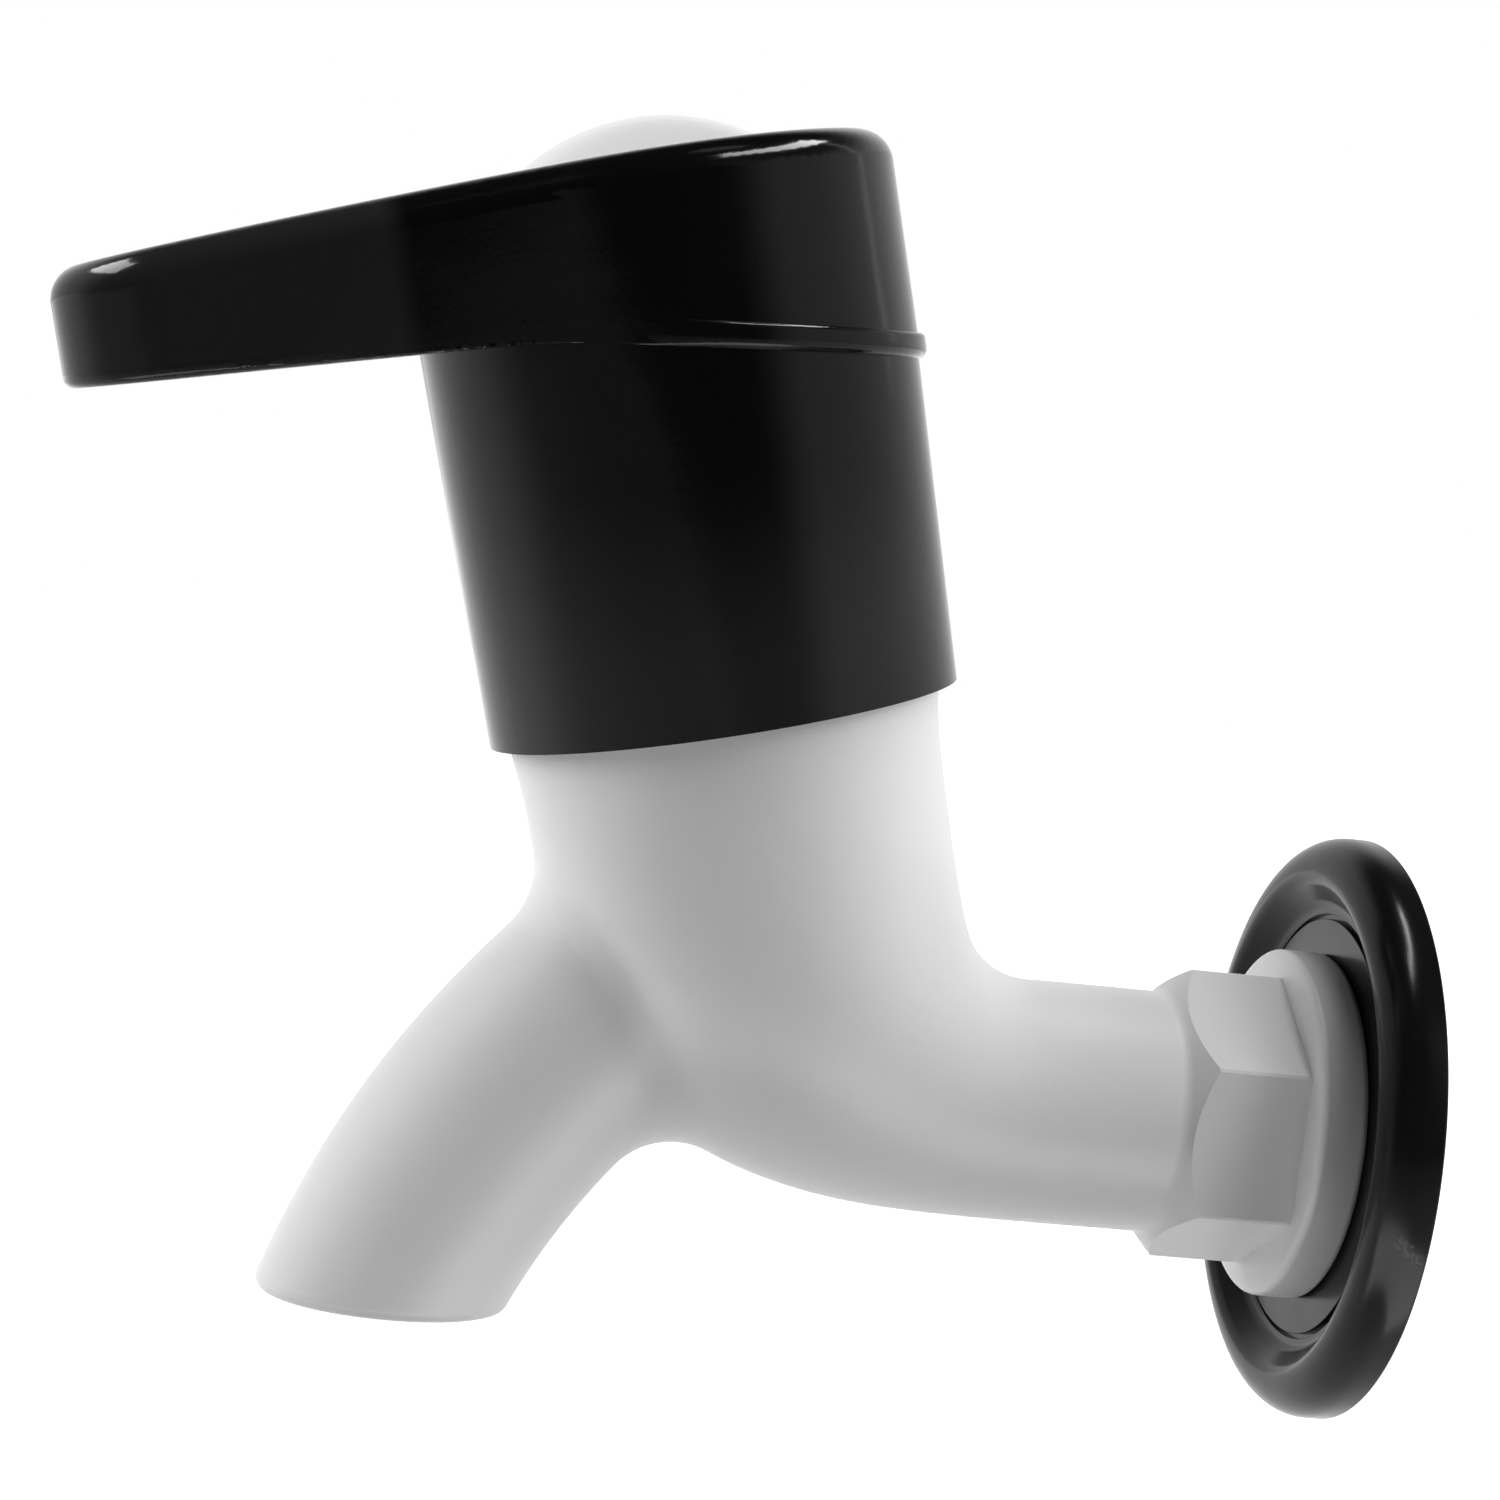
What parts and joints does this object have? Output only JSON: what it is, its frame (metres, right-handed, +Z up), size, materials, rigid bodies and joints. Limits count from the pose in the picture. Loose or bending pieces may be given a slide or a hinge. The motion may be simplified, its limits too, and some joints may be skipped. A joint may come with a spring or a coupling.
{
  "type": "bib tap",
  "caption": "Wall-mounted plastic bib tap with a leaning quarter-turn headwork, flat lever handle, curved spout, hexagonal collar, wall flange and threaded inlet.",
  "frame": {"origin": "centre of the inlet thread's axis, in the plane of the wall face", "axes": "+Z up, -Y out of the wall towards the user, +Y into the wall along the inlet"},
  "size_m": [0.059, 0.146, 0.1229],
  "materials": {
    "white_body": "semi-gloss",
    "white_cap": "gloss",
    "black_handle": "gloss",
    "black_flange": "gloss",
    "seal_rubber": "matt",
    "ceramic": "lapped",
    "headwork_brass": "turned",
    "washer_plastic": "matt",
    "steel": "bright"
  },
  "bodies": {
    "tap": {"tap_body": "white_body", "wall_flange": "black_flange", "seat_seal": "seal_rubber", "fixed_disc": "ceramic", "headwork_body": "headwork_brass", "headwork_gasket": "seal_rubber"},
    "handle": {"moving_disc": "ceramic", "spindle": "headwork_brass", "spindle_oring_lower": "seal_rubber", "spindle_oring_upper": "seal_rubber", "friction_washer": "washer_plastic", "retaining_clip": "steel", "handle_skirt": "black_handle", "handle_lever": "black_handle", "handle_cap": "white_cap", "screw_washer": "steel", "handle_screw": "steel"}
  },
  "joints": [
    {"name": "handle_turn", "type": "hinge", "parent": "tap", "child": "handle", "pos_m": [0, -0.059, 0], "axis": [0, -0.2672, 0.9636], "range_deg": [0, 90]}
  ]
}
